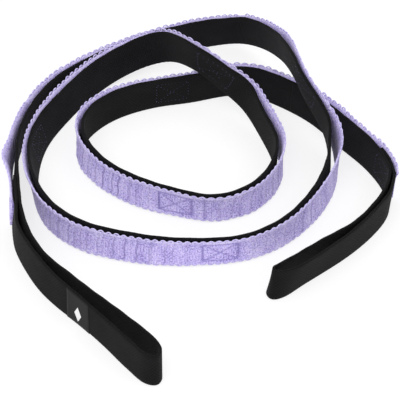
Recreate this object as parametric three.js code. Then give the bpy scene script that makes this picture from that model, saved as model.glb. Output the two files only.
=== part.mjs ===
// Multi-grip stretching strap, laid in a loose coil on its edge.
// A flat webbing runs the whole length and turns back on itself as a handle loop at each end.
// An elastic band is sewn along its outer face with box stitches, which leaves eight grip loops.
import * as THREE from 'three';

// Driving dimensions, in millimetres
const STRAP_WIDTH = 25.4;
const WEBBING_THICKNESS = 2.0;
const ELASTIC_WIDTH = 23.8;
const ELASTIC_THICKNESS = 1.4;
const PLY_GAP = 0.3;
const STITCH_GAP = 0.4;
const STITCH_MARGIN = 3;
const HINGE_GAP = 1.2;
const STEP_LENGTH = 6.5;
const WIDTH_STEPS = 2;
const FOLD_LENGTH = 28;
const FOLD_CLIMB_START = 1;
const FOLD_CLIMB_END = 22;
const BOX_LENGTH = 23;
const BOX_HEIGHT = 15.5;
const THREAD_HEIGHT = 0.5;
const LABEL_LENGTH = 23;
const LABEL_THICKNESS = 0.6;
const LABEL_START = 94;
const LABEL_MARGIN = 0.3;
const MARK_SIZE = { length: 7, height: 12, thickness: 0.3, level: 9.5 };

// Moves the middle of the webbing's footprint to the origin
const CENTRE_X = -0.1;
const CENTRE_Y = -1.1;

// Route of the bottom edge of the webbing: x, y, lift off the floor, lean of the top edge to
// the left of travel in degrees. Left of travel is the outer side of the coil.
const LEFT_HANDLE = [
  [-125.4, -33.0, 0, 8],
  [-122.4, -51.8, 0, 2],
  [-115.0, -72.0, 0, 4],
  [-104.6, -92.6, 0, 6],
  [-93.0, -108.4, 0, 3],
  [-78.0, -125.0, 0, 0],
  [-61.7, -145.4, 0, 0],
  [-45.8, -167.3, 0, 3],
  [-34.2, -180.7, 0, 2],
  [-27.2, -182.1, 0, 0],
  [-24.7, -174.7, 0, 0],
  [-31.2, -162.7, 0, 0],
  [-46.9, -144.4, 0, 0],
  [-66.1, -124.0, 0, 0],
  [-83.6, -104.6, 0, 0],
  [-100.0, -85.6, 0, 0],
  [-112.6, -63.6, 0, -2],
  [-119.6, -44.8, 0, -6],
];
const COIL = [
  [-122.9, -31.4, 0, -8],
  [-125.2, 4.2, 0, -4],
  [-126.9, 34.3, 0, -5],
  [-120.7, 67.3, 0, -4],
  [-101.1, 103.4, 0, 2],
  [-77.0, 126.4, 0, 4],
  [-50.3, 147.5, 0, 1],
  [-20.2, 163.5, 0, -2],
  [8.7, 172.8, 0.7, -3],
  [29.0, 173.5, 2.7, -8],
  [45.3, 159.2, 8.7, -9],
  [58.3, 135.0, 16.7, -11],
  [64.7, 110.3, 24.4, -10],
  [68.4, 93.8, 27.4, -7],
  [72.2, 78.3, 27.0, -7],
  [80.2, 64.4, 20.7, -7],
  [87.7, 51.3, 10.7, -6],
  [89.2, 35.1, 2.0, 0],
  [85.3, 8.5, 0, 0],
  [73.5, -21.0, 0, 1],
  [55.5, -45.2, 0, 4],
  [29.9, -61.5, 0, 8],
  [2.7, -66.0, 0, 7],
  [-23.2, -66.5, 0, 3],
  [-49.8, -62.0, 0, 0],
  [-78.7, -50.8, 0, 0],
  [-98.8, -31.4, 0, 0],
  [-109.0, -4.2, 0, 6],
  [-111.3, 27.8, 0, 15],
  [-106.3, 57.3, 0, 14],
  [-92.7, 86.3, 0, 11],
  [-73.2, 117.2, 0, 10],
  [-56.4, 132.3, 2.7, 8],
  [-38.6, 138.8, 8.0, 2],
  [-22.8, 134.2, 16.0, -6],
  [-12.0, 121.0, 23.8, -8],
  [-3.5, 109.3, 27.4, -7],
  [4.9, 101.5, 26.8, -6],
  [16.1, 93.7, 20.4, -3],
  [29.9, 85.3, 12.0, 1],
  [42.5, 63.9, 3.3, 1],
  [51.5, 35.4, 0, 4],
  [47.8, 9.6, 0, 1],
  [33.8, -11.6, 0, 3],
  [9.4, -21.5, 0, 8],
  [-14.9, -16.3, 0, 4],
  [-40.7, -6.9, 0, -2],
  [-64.9, 11.7, 0, -3],
  [-79.5, 33.2, 0, -7],
  [-82.6, 54.0, 0, -3],
  [-74.1, 72.8, 0, 3],
  [-57.7, 89.2, 0, 2],
  [-31.8, 101.7, 0, -3],
  [-5.7, 107.4, 0, -1],
  [19.9, 115.4, 0, 0],
  [35.5, 114.8, 0, 3],
  [49.6, 107.4, 0, 5],
  [76.5, 85.2, 0, 6],
  [97.9, 55.6, 0, 11],
  [115.6, 31.0, 0, 8],
  [126.0, 5.3, 0, 5],
];
const RIGHT_HANDLE = [
  [123.6, -12.6, 0, 4],
  [114.8, -30.3, 0, 5],
  [98.7, -49.3, 0, 9],
  [74.3, -65.0, 0, 16],
  [56.1, -78.5, 0, 20],
  [46.7, -87.9, 0, 18],
  [43.9, -95.8, 0, 14],
  [47.1, -101.2, 0, 4],
  [53.6, -99.2, 0, -8],
  [67.7, -86.4, 0, -13],
  [98.8, -57.4, 0, -8],
  [116.4, -35.5, 0, -4],
  [125.2, -19.0, 0, -5],
  [128.9, 2.0, 0, -8],
];

// Centres of the stitched boxes, measured along the strap from the left root
const BOX_CENTRES = [16, 213, 403, 593, 795, 985, 1174, 1363];
const RIGHT_BOX_INSET = 16;

// How far the top edge, the middle and the bottom edge of each grip loop stand off the webbing, at
// even steps from the box nearer the left root to the next box.
const GRIP_LOOPS = [
  {
    top: [0, 6.5, 3.0, 2.4, 2.4, 2.0, 1.6, 1.4, 1.2, 0],
    middle: [0, 2.6, 1.3, 1.0, 1.0, 1.0, 0.8, 0.7, 0.6, 0],
    bottom: [0, 0.6, 0.3, 0.3, 0.3, 0.3, 0.3, 0.3, 0.3, 0],
  },
  {
    top: [0, 0.8, 0.8, 1.6, 2.6, 3.4, 0],
    middle: [0, 0.6, 0.8, 1.0, 1.2, 1.4, 0],
    bottom: [0, 0.2, 0.3, 0.3, 0.3, 0.3, 0],
  },
  {
    top: [0, 4.5, 1.2, 0.3, 0.2, 0.3, 0],
    middle: [0, 3.4, 3.2, 2.2, 1.2, 0.6, 0],
    bottom: [0, 0.8, 4.6, 4.0, 2.0, 0.8, 0],
  },
  {
    top: [0, 0.4, 0.6, 0.8, 1.0, 1.4, 0],
    middle: [0, 0.4, 0.6, 0.9, 1.2, 1.0, 0],
    bottom: [0, 0.2, 0.4, 0.6, 1.0, 0.4, 0],
  },
  {
    top: [0, 2.2, 1.5, 1.5, 1.2, 1.4, 0],
    middle: [0, 1.2, 1.0, 1.0, 0.9, 0.8, 0],
    bottom: [0, 0.3, 0.3, 0.3, 0.3, 0.3, 0],
  },
  {
    top: [0, 3.0, 3.4, 1.6, 0.4, 0.3, 0],
    middle: [0, 1.8, 2.4, 2.4, 1.6, 0.4, 0],
    bottom: [0, 0.3, 0.8, 3.6, 2.4, 0.5, 0],
  },
  {
    top: [0, 0.4, 0.5, 1.0, 1.8, 1.5, 0],
    middle: [0, 0.4, 0.6, 1.0, 1.1, 0.9, 0],
    bottom: [0, 0.2, 0.4, 0.8, 0.4, 0.3, 0],
  },
  {
    top: [0, 1.6, 1.4, 1.4, 2.2, 0.6, 0],
    middle: [0, 0.9, 0.9, 0.9, 1.2, 0.4, 0],
    bottom: [0, 0.3, 0.3, 0.3, 0.3, 0.2, 0],
  },
];

const WEBBING = new THREE.MeshStandardMaterial({ color: 0x1c1c1f, roughness: 0.9, metalness: 0 });
const ELASTIC = new THREE.MeshStandardMaterial({ color: 0xb6a8ea, roughness: 0.8, metalness: 0 });
const THREAD = new THREE.MeshStandardMaterial({ color: 0x9c8cd6, roughness: 0.7, metalness: 0 });
const LABEL = new THREE.MeshStandardMaterial({ color: 0x141416, roughness: 0.6, metalness: 0 });
const MARK = new THREE.MeshStandardMaterial({ color: 0xf2f2f2, roughness: 0.6, metalness: 0 });

const STATIONS = [...LEFT_HANDLE, ...COIL, ...RIGHT_HANDLE];
const LEANS = STATIONS.map((station) => station[3]);
const SAMPLES_PER_STATION = 40;

function makeRoute() {
  const points = STATIONS.map(([x, y, lift]) => new THREE.Vector3(x - CENTRE_X, y - CENTRE_Y, lift));
  const curve = new THREE.CatmullRomCurve3(points, false, 'centripetal');
  curve.arcLengthDivisions = (points.length - 1) * SAMPLES_PER_STATION;
  return curve;
}

const ROUTE = makeRoute();
const ROUTE_LENGTHS = ROUTE.getLengths();

function distanceAtStation(index) {
  return ROUTE_LENGTHS[index * SAMPLES_PER_STATION];
}

const LEFT_ROOT = distanceAtStation(LEFT_HANDLE.length);
const RIGHT_ROOT = distanceAtStation(LEFT_HANDLE.length + COIL.length - 1);
const STRAP_END = ROUTE.getLength();
const BOXES = [...BOX_CENTRES.map((centre) => LEFT_ROOT + centre), RIGHT_ROOT - RIGHT_BOX_INSET];

function leanAt(t) {
  const place = t * (LEANS.length - 1);
  const index = Math.min(Math.floor(place), LEANS.length - 2);
  return THREE.MathUtils.degToRad(THREE.MathUtils.lerp(LEANS[index], LEANS[index + 1], place - index));
}

// A point at a distance along the route, a height up the strap and an offset to the outer side
function strapPoint(distance, height, offset) {
  const t = ROUTE.getUtoTmapping(0, distance);
  const point = ROUTE.getPoint(t);
  point.z = Math.max(point.z, 0);
  const along = ROUTE.getTangent(t);
  const side = new THREE.Vector3(-along.y, along.x, 0).normalize();
  const lean = leanAt(t);
  const up = new THREE.Vector3(0, 0, Math.cos(lean)).addScaledVector(side, Math.sin(lean));
  up.addScaledVector(along, -up.dot(along)).normalize();
  return point.addScaledVector(up, height).addScaledVector(side, offset);
}

function bend(geometry, place) {
  const position = geometry.attributes.position;
  for (let i = 0; i < position.count; i += 1) {
    const moved = place(position.getX(i), position.getY(i), position.getZ(i));
    position.setXYZ(i, moved.x, moved.y, moved.z);
  }
  geometry.computeVertexNormals();
  return geometry;
}

// A flat ribbon that follows the route: inner(distance, height) is the offset of its inner face.
// Every ribbon bends at the same distances, so layers that lie together stay parallel.
function ribbon(name, material, start, end, bottom, width, thickness, inner) {
  const before = Math.floor(start / STEP_LENGTH);
  const steps = Math.ceil(end / STEP_LENGTH) - before;
  const box = new THREE.BoxGeometry(steps, thickness, width, steps, 1, WIDTH_STEPS);
  const place = (x, y, z) => {
    const distance = THREE.MathUtils.clamp((before + x + steps / 2) * STEP_LENGTH, start, end);
    const height = bottom + width / 2 + z;
    return strapPoint(distance, height, inner(distance, height) + thickness / 2 + y);
  };
  const mesh = new THREE.Mesh(bend(box, place), material);
  mesh.name = name;
  return mesh;
}

const WEBBING_INNER = -WEBBING_THICKNESS / 2;
const WEBBING_OUTER = WEBBING_THICKNESS / 2;
const FOLD_INNER = WEBBING_OUTER + PLY_GAP;
const FOLD_OUTER = FOLD_INNER + WEBBING_THICKNESS;

function webbing(name, start, end) {
  return ribbon(name, WEBBING, start, end, 0, STRAP_WIDTH, WEBBING_THICKNESS, () => WEBBING_INNER);
}

function foldedEnd(name, start, end) {
  return ribbon(name, WEBBING, start, end, 0, STRAP_WIDTH, WEBBING_THICKNESS, () => FOLD_INNER);
}

// The elastic lies on the webbing and climbs over the folded end at each root
function foldClimb(distance) {
  const climb = Math.min(distance - LEFT_ROOT, RIGHT_ROOT - distance) - FOLD_LENGTH;
  const fall = 1 - THREE.MathUtils.smoothstep(climb, FOLD_CLIMB_START, FOLD_CLIMB_END);
  return (FOLD_OUTER - WEBBING_OUTER) * fall;
}

// A value along a grip loop, eased from each step of its list to the next
function along(lifts, share) {
  const place = share * (lifts.length - 1);
  const step = Math.min(Math.floor(place), lifts.length - 2);
  const blend = THREE.MathUtils.smoothstep(place - step, 0, 1);
  return THREE.MathUtils.lerp(lifts[step], lifts[step + 1], blend);
}

// The curve through the bottom, the middle and the top, which is nothing at the stitched boxes
function standOff(distance, height) {
  let lift = 0;
  GRIP_LOOPS.forEach((loop, index) => {
    const from = BOXES[index] + BOX_LENGTH / 2 + STITCH_MARGIN;
    const to = BOXES[index + 1] - BOX_LENGTH / 2 - STITCH_MARGIN;
    if (distance > from && distance < to) {
      const share = (distance - from) / (to - from);
      const level = height / STRAP_WIDTH;
      lift = along(loop.bottom, share) * (1 - level) * (1 - 2 * level);
      lift += along(loop.middle, share) * 4 * level * (1 - level);
      lift += along(loop.top, share) * level * (2 * level - 1);
    }
  });
  return lift;
}

function elasticInner(distance, height = STRAP_WIDTH / 2) {
  return WEBBING_OUTER + PLY_GAP + foldClimb(distance) + standOff(distance, height);
}

// Sections meet just before each stitched box, on the side of the left root
const HINGED_BOXES = [1, 2];
const SPLITS = BOXES.map((centre) => centre - BOX_LENGTH / 2 - HINGE_GAP);

function splitGap(index) {
  return HINGED_BOXES.includes(index) ? HINGE_GAP : PLY_GAP;
}

function sectionEnds(index) {
  const last = BOXES.length - 2;
  const start = index === 0 ? LEFT_ROOT + HINGE_GAP / 2 : SPLITS[index] + splitGap(index) / 2;
  const end = index === last ? RIGHT_ROOT - HINGE_GAP / 2 : SPLITS[index + 1] - splitGap(index + 1) / 2;
  return [start, end];
}

function elasticSection(name, start, end) {
  const bottom = (STRAP_WIDTH - ELASTIC_WIDTH) / 2;
  return ribbon(name, ELASTIC, start, end, bottom, ELASTIC_WIDTH, ELASTIC_THICKNESS, elasticInner);
}

// Lays a flat outline on the strap: its x runs along the route and its y up the strap
function layOnStrap(name, material, shape, thickness, centre, level, inner) {
  const geometry = new THREE.ExtrudeGeometry(shape, { depth: thickness, steps: 1, bevelEnabled: false });
  const place = (x, y, z) => strapPoint(centre + x, level + y, inner(centre + x) + thickness - z);
  const mesh = new THREE.Mesh(bend(geometry, place), material);
  mesh.name = name;
  return mesh;
}

// The stitched box as one thin pad of thread
function boxStitch(index) {
  const inner = (distance) => elasticInner(distance) + ELASTIC_THICKNESS + STITCH_GAP;
  const start = BOXES[index] - BOX_LENGTH / 2;
  const bottom = (STRAP_WIDTH - BOX_HEIGHT) / 2;
  const name = `box_stitch_${index + 1}`;
  return ribbon(name, THREAD, start, start + BOX_LENGTH, bottom, BOX_HEIGHT, THREAD_HEIGHT, inner);
}

function handleLabel() {
  const inner = () => WEBBING_INNER - PLY_GAP - LABEL_THICKNESS;
  const end = LABEL_START + LABEL_LENGTH;
  const width = STRAP_WIDTH - LABEL_MARGIN * 2;
  return ribbon('handle_label', LABEL, LABEL_START, end, LABEL_MARGIN, width, LABEL_THICKNESS, inner);
}

function labelMark() {
  const shape = new THREE.Shape();
  shape.moveTo(MARK_SIZE.length / 2, 0);
  shape.lineTo(0, MARK_SIZE.height / 2);
  shape.lineTo(-MARK_SIZE.length / 2, 0);
  shape.lineTo(0, -MARK_SIZE.height / 2);
  const inner = () => WEBBING_INNER - PLY_GAP * 2 - LABEL_THICKNESS - MARK_SIZE.thickness;
  const centre = LABEL_START + LABEL_LENGTH / 2;
  return layOnStrap('label_mark', MARK, shape, MARK_SIZE.thickness, centre, MARK_SIZE.level, inner);
}

function makeStrap() {
  const strap = new THREE.Group();
  strap.add(webbing('handle_loop_left', HINGE_GAP / 2, LEFT_ROOT - HINGE_GAP / 2));
  strap.add(webbing('handle_loop_right', RIGHT_ROOT + HINGE_GAP / 2, STRAP_END - HINGE_GAP / 2));
  strap.add(foldedEnd('folded_end_left', LEFT_ROOT + HINGE_GAP / 2, LEFT_ROOT + FOLD_LENGTH));
  strap.add(foldedEnd('folded_end_right', RIGHT_ROOT - FOLD_LENGTH, RIGHT_ROOT - HINGE_GAP / 2));
  GRIP_LOOPS.forEach((loop, index) => {
    const [start, end] = sectionEnds(index);
    strap.add(webbing(`webbing_section_${index + 1}`, start, end));
    strap.add(elasticSection(`elastic_grip_loop_${index + 1}`, start, end));
  });
  BOXES.forEach((centre, index) => strap.add(boxStitch(index)));
  strap.add(handleLabel());
  strap.add(labelMark());
  return strap;
}

export default makeStrap();
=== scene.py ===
"""Multi-grip stretching strap in a loose coil on its edge.

Black webbing with a turned-back hand loop at each end, and a picot-edged lavender elastic
held to its outer face by box stitches. Everything follows one route, in metres.
"""
import math

import bpy
import numpy as np
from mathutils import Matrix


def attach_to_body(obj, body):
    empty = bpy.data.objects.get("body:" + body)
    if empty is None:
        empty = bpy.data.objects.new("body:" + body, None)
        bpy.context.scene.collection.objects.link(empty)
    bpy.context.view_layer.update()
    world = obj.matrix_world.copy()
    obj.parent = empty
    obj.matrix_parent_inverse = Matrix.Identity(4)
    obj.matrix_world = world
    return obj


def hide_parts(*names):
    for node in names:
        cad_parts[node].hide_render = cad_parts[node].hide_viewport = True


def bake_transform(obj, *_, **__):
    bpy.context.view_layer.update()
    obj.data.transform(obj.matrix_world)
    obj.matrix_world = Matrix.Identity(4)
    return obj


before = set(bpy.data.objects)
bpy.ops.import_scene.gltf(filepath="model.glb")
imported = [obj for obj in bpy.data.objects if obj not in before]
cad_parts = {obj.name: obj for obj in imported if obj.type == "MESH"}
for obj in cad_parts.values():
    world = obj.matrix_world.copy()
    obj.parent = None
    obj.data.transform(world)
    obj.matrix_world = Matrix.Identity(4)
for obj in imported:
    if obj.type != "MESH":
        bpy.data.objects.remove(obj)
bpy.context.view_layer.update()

MM = 0.001
# The route's own point that the object's frame has as its origin
CENTRE = np.array([-0.0001, -0.0011, 0.0])

# The strap's own sizes
STRAP_WIDTH = 25.4 * MM
WEBBING_THICKNESS = 2.0 * MM
WEBBING_ROUND = 0.9 * MM
ELASTIC_THICKNESS = 1.25 * MM
ELASTIC_BOTTOM = 1.5 * MM
ELASTIC_TOP = 23.9 * MM
ELASTIC_REST = 0.15 * MM
ELASTIC_END_GAP = 2.5 * MM
FOLD_OFFSET = 2.15 * MM
FOLD_LENGTH = 28 * MM
BOX_LENGTH = 23 * MM
BOX_HEIGHT = 15.5 * MM
STITCH_MARGIN = 3 * MM
PICOT_PITCH = 5.1 * MM
LABEL_START = 94 * MM
LABEL_LENGTH = 23 * MM
LABEL_THICKNESS = 0.45 * MM
LABEL_MARGIN = 0.35 * MM
MARK_HEIGHT = 12 * MM
MARK_LENGTH = 7 * MM
MARK_LEVEL = 9.5 * MM
MARK_THICKNESS = 0.12 * MM
HINGE_GAP = 1.2 * MM

# Route of the bottom edge of the webbing: x, y, lift off the floor, lean of the top edge to
# the left of travel in degrees. Left of travel is the outer side of the coil.
LEFT_HANDLE = [
    (-0.1254, -0.0330, 0.0000, 8),
    (-0.1224, -0.0518, 0.0000, 2),
    (-0.1150, -0.0720, 0.0000, 4),
    (-0.1046, -0.0926, 0.0000, 6),
    (-0.0930, -0.1084, 0.0000, 3),
    (-0.0780, -0.1250, 0.0000, 0),
    (-0.0617, -0.1454, 0.0000, 0),
    (-0.0458, -0.1673, 0.0000, 3),
    (-0.0342, -0.1807, 0.0000, 2),
    (-0.0272, -0.1821, 0.0000, 0),
    (-0.0247, -0.1747, 0.0000, 0),
    (-0.0312, -0.1627, 0.0000, 0),
    (-0.0469, -0.1444, 0.0000, 0),
    (-0.0661, -0.1240, 0.0000, 0),
    (-0.0836, -0.1046, 0.0000, 0),
    (-0.1000, -0.0856, 0.0000, 0),
    (-0.1126, -0.0636, 0.0000, -2),
    (-0.1196, -0.0448, 0.0000, -6),
]
COIL = [
    (-0.1229, -0.0314, 0.0000, -8),
    (-0.1252, 0.0042, 0.0000, -4),
    (-0.1269, 0.0343, 0.0000, -5),
    (-0.1207, 0.0673, 0.0000, -4),
    (-0.1011, 0.1034, 0.0000, 2),
    (-0.0770, 0.1264, 0.0000, 4),
    (-0.0503, 0.1475, 0.0000, 1),
    (-0.0202, 0.1635, 0.0000, -2),
    (0.0087, 0.1728, 0.0007, -3),
    (0.0290, 0.1735, 0.0027, -8),
    (0.0453, 0.1592, 0.0087, -9),
    (0.0583, 0.1350, 0.0167, -11),
    (0.0647, 0.1103, 0.0244, -10),
    (0.0684, 0.0938, 0.0274, -7),
    (0.0722, 0.0783, 0.0270, -7),
    (0.0802, 0.0644, 0.0207, -7),
    (0.0877, 0.0513, 0.0107, -6),
    (0.0892, 0.0351, 0.0020, 0),
    (0.0853, 0.0085, 0.0000, 0),
    (0.0735, -0.0210, 0.0000, 1),
    (0.0555, -0.0452, 0.0000, 4),
    (0.0299, -0.0615, 0.0000, 8),
    (0.0027, -0.0660, 0.0000, 7),
    (-0.0232, -0.0665, 0.0000, 3),
    (-0.0498, -0.0620, 0.0000, 0),
    (-0.0787, -0.0508, 0.0000, 0),
    (-0.0988, -0.0314, 0.0000, 0),
    (-0.1090, -0.0042, 0.0000, 6),
    (-0.1113, 0.0278, 0.0000, 15),
    (-0.1063, 0.0573, 0.0000, 14),
    (-0.0927, 0.0863, 0.0000, 11),
    (-0.0732, 0.1172, 0.0000, 10),
    (-0.0564, 0.1323, 0.0027, 8),
    (-0.0386, 0.1388, 0.0080, 2),
    (-0.0228, 0.1342, 0.0160, -6),
    (-0.0120, 0.1210, 0.0238, -8),
    (-0.0035, 0.1093, 0.0274, -7),
    (0.0049, 0.1015, 0.0268, -6),
    (0.0161, 0.0937, 0.0204, -3),
    (0.0299, 0.0853, 0.0120, 1),
    (0.0425, 0.0639, 0.0033, 1),
    (0.0515, 0.0354, 0.0000, 4),
    (0.0478, 0.0096, 0.0000, 1),
    (0.0338, -0.0116, 0.0000, 3),
    (0.0094, -0.0215, 0.0000, 8),
    (-0.0149, -0.0163, 0.0000, 4),
    (-0.0407, -0.0069, 0.0000, -2),
    (-0.0649, 0.0117, 0.0000, -3),
    (-0.0795, 0.0332, 0.0000, -7),
    (-0.0826, 0.0540, 0.0000, -3),
    (-0.0741, 0.0728, 0.0000, 3),
    (-0.0577, 0.0892, 0.0000, 2),
    (-0.0318, 0.1017, 0.0000, -3),
    (-0.0057, 0.1074, 0.0000, -1),
    (0.0199, 0.1154, 0.0000, 0),
    (0.0355, 0.1148, 0.0000, 3),
    (0.0496, 0.1074, 0.0000, 5),
    (0.0765, 0.0852, 0.0000, 6),
    (0.0979, 0.0556, 0.0000, 11),
    (0.1156, 0.0310, 0.0000, 8),
    (0.1260, 0.0053, 0.0000, 5),
]
RIGHT_HANDLE = [
    (0.1236, -0.0126, 0.0000, 4),
    (0.1148, -0.0303, 0.0000, 5),
    (0.0987, -0.0493, 0.0000, 9),
    (0.0743, -0.0650, 0.0000, 16),
    (0.0561, -0.0785, 0.0000, 20),
    (0.0467, -0.0879, 0.0000, 18),
    (0.0439, -0.0958, 0.0000, 14),
    (0.0471, -0.1012, 0.0000, 4),
    (0.0536, -0.0992, 0.0000, -8),
    (0.0677, -0.0864, 0.0000, -13),
    (0.0988, -0.0574, 0.0000, -8),
    (0.1164, -0.0355, 0.0000, -4),
    (0.1252, -0.0190, 0.0000, -5),
    (0.1289, 0.0020, 0.0000, -8),
]

# Middles of the box stitches, in metres from the left root, and of the last one from the right root
BOX_CENTRES = [0.016, 0.213, 0.403, 0.593, 0.795, 0.985, 1.174, 1.363]
RIGHT_BOX_INSET = 0.016
# How far the top edge, the middle and the bottom edge of each grip loop stand off the webbing, in
# millimetres, at even steps from the box nearer the left root to the next box.
GRIP_LOOPS = [
    {"top": [0, 8.6, 2.8, 2.4, 2.4, 2.0, 1.6, 1.4, 1.2, 0],
     "middle": [0, 3.2, 1.3, 1.0, 1.0, 1.0, 0.8, 0.7, 0.6, 0],
     "bottom": [0, 0.6, 0.3, 0.3, 0.3, 0.3, 0.3, 0.3, 0.3, 0]},
    {"top": [0, 0.8, 0.8, 1.6, 2.6, 3.4, 0],
     "middle": [0, 0.6, 0.8, 1.0, 1.2, 1.4, 0],
     "bottom": [0, 0.2, 0.3, 0.3, 0.3, 0.3, 0]},
    {"top": [0, 6.4, 3.4, 1.0, 0.2, 0.3, 0],
     "middle": [0, 4.0, 4.2, 2.6, 1.2, 0.6, 0],
     "bottom": [0, 0.4, 3.8, 4.0, 2.0, 0.8, 0]},
    {"top": [0, 0.4, 0.6, 0.8, 1.0, 1.4, 0],
     "middle": [0, 0.4, 0.6, 0.9, 1.2, 1.0, 0],
     "bottom": [0, 0.2, 0.4, 0.6, 1.0, 0.4, 0]},
    {"top": [0, 2.2, 1.5, 1.5, 1.2, 1.4, 0],
     "middle": [0, 1.2, 1.0, 1.0, 0.9, 0.8, 0],
     "bottom": [0, 0.3, 0.3, 0.3, 0.3, 0.3, 0]},
    {"top": [0, 3.0, 3.4, 1.6, 0.4, 0.3, 0],
     "middle": [0, 1.8, 2.4, 2.4, 1.6, 0.4, 0],
     "bottom": [0, 0.3, 0.8, 3.6, 2.4, 0.5, 0]},
    {"top": [0, 0.4, 0.5, 1.0, 1.8, 1.5, 0],
     "middle": [0, 0.4, 0.6, 1.0, 1.1, 0.9, 0],
     "bottom": [0, 0.2, 0.4, 0.8, 0.4, 0.3, 0]},
    {"top": [0, 1.6, 1.4, 1.4, 2.2, 0.6, 0],
     "middle": [0, 0.9, 0.9, 0.9, 1.2, 0.4, 0],
     "bottom": [0, 0.3, 0.3, 0.3, 0.3, 0.2, 0]},
]
# The top edge of the elastic curls away from the webbing all along the strap
CURL = 2.5 * MM
CURL_START = 18.5 * MM
CURL_POWER = 1.6
CURL_LIMIT = 1.1
# Where the strap's visible pieces meet, in metres from the left root, in the middle of a grip loop
MEETINGS = [0.108, 0.300, 0.498, 1.460]


# ---------------------------------------------------------------- the route
STATIONS = np.array(LEFT_HANDLE + COIL + RIGHT_HANDLE)
SAMPLES = 40


def centripetal_curve(points):
    """The centripetal Catmull-Rom curve through the points, SAMPLES steps for each span."""
    ends = [2 * points[0] - points[1], 2 * points[-1] - points[-2]]
    p = np.vstack([ends[0], points, ends[1]])
    out = []
    u = np.arange(SAMPLES)[:, None] / SAMPLES
    for i in range(1, len(p) - 2):
        p0, p1, p2, p3 = p[i - 1:i + 3]
        d0, d1, d2 = (math.sqrt(np.linalg.norm(b - a)) for a, b in ((p0, p1), (p1, p2), (p2, p3)))
        t1 = ((p1 - p0) / d0 - (p2 - p0) / (d0 + d1) + (p2 - p1) / d1) * d1
        t2 = ((p2 - p1) / d1 - (p3 - p1) / (d1 + d2) + (p3 - p2) / d2) * d1
        square = -3 * p1 + 3 * p2 - 2 * t1 - t2
        cube = 2 * p1 - 2 * p2 + t1 + t2
        out.append(p1 + t1 * u + square * u**2 + cube * u**3)
    return np.vstack(out + [points[-1:]])


def smooth(values, sigma):
    """Each column of values smoothed along the rows, sigma in rows."""
    reach = int(math.ceil(3 * sigma))
    kernel = np.exp(-0.5 * (np.arange(-reach, reach + 1) / sigma) ** 2)
    kernel /= kernel.sum()
    padded = np.pad(values, ((reach, reach), (0, 0)), mode="edge")
    columns = [np.convolve(column, kernel, mode="valid") for column in padded.T]
    return np.stack(columns, axis=1)


def unit(vectors):
    return vectors / np.linalg.norm(vectors, axis=-1, keepdims=True)


def level_side(along):
    """The level direction to the left of each direction of travel."""
    return unit(np.stack([-along[:, 1], along[:, 0], np.zeros(len(along))], axis=1))


def on_floor(points):
    """The same array of points, with none below the floor."""
    points[..., 2] = np.maximum(points[..., 2], 0)
    return points


class Path:
    """Bottom-edge points with the strap's up direction and side direction at each step."""

    def __init__(self, points, ups):
        steps = np.linalg.norm(np.diff(points, axis=0), axis=1)
        self.s = np.concatenate([[0], np.cumsum(steps)])
        along = unit(np.gradient(points, axis=0))
        self.points = points
        self.side = level_side(along)
        self.ups = unit(ups - along * np.sum(ups * along, axis=1, keepdims=True))

    def at(self, rows, s):
        """The rows, one for each step, read at distances s."""
        return np.stack([np.interp(s, self.s, rows[:, k]) for k in range(3)], axis=-1)

    def point(self, s, height, offset):
        """Points at distances s, heights up the strap and offsets to the left of travel."""
        s, height, offset = np.broadcast_arrays(s, height, offset)
        up, side = unit(self.at(self.ups, s)), unit(self.at(self.side, s))
        return self.at(self.points, s) + up * height[..., None] + side * offset[..., None]


STEP = 1.0 * MM
# How much the coil, the hand loops with their tight turns, and the lean are smoothed, in steps
COIL_SOFTNESS = 6
HANDLE_SOFTNESS = 1.5
LEAN_SOFTNESS = 7
ROOT_FADE = 20 * MM


def make_route():
    """The route as a Path, and the distances along it of the two roots of the hand loops."""
    curve = on_floor(centripetal_curve(STATIONS[:, :3]))
    lengths = np.concatenate([[0], np.cumsum(np.linalg.norm(np.diff(curve, axis=0), axis=1))])
    places = np.arange(len(curve)) / SAMPLES
    s = np.arange(0, lengths[-1], STEP)
    points = np.stack([np.interp(s, lengths, curve[:, k]) for k in range(3)], axis=1) - CENTRE
    leans = np.interp(np.interp(s, lengths, places), np.arange(len(STATIONS)), STATIONS[:, 3])
    left = lengths[len(LEFT_HANDLE) * SAMPLES]
    right = lengths[(len(LEFT_HANDLE) + len(COIL) - 1) * SAMPLES]
    inside = np.clip(np.minimum(s - left, right - s) / ROOT_FADE, 0, 1)[:, None]
    points = smooth(points, HANDLE_SOFTNESS) * (1 - inside) + smooth(points, COIL_SOFTNESS) * inside
    leans = np.radians(smooth(leans[:, None], LEAN_SOFTNESS)[:, 0])
    ups = level_side(unit(np.gradient(points, axis=0))) * np.sin(leans)[:, None]
    ups[:, 2] += np.cos(leans)
    return Path(points, ups), left, right


ROUTE, LEFT_ROOT, RIGHT_ROOT = make_route()
BOXES = [LEFT_ROOT + c for c in BOX_CENTRES] + [RIGHT_ROOT - RIGHT_BOX_INSET]


# How much the turned-back folds are rounded off, in steps, and how that fades away from each fold
FOLD_SOFTNESS = 3
FOLD_UP_SOFTNESS = 4
FOLD_FADE_START = 1.6
FOLD_FADE = 12


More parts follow.
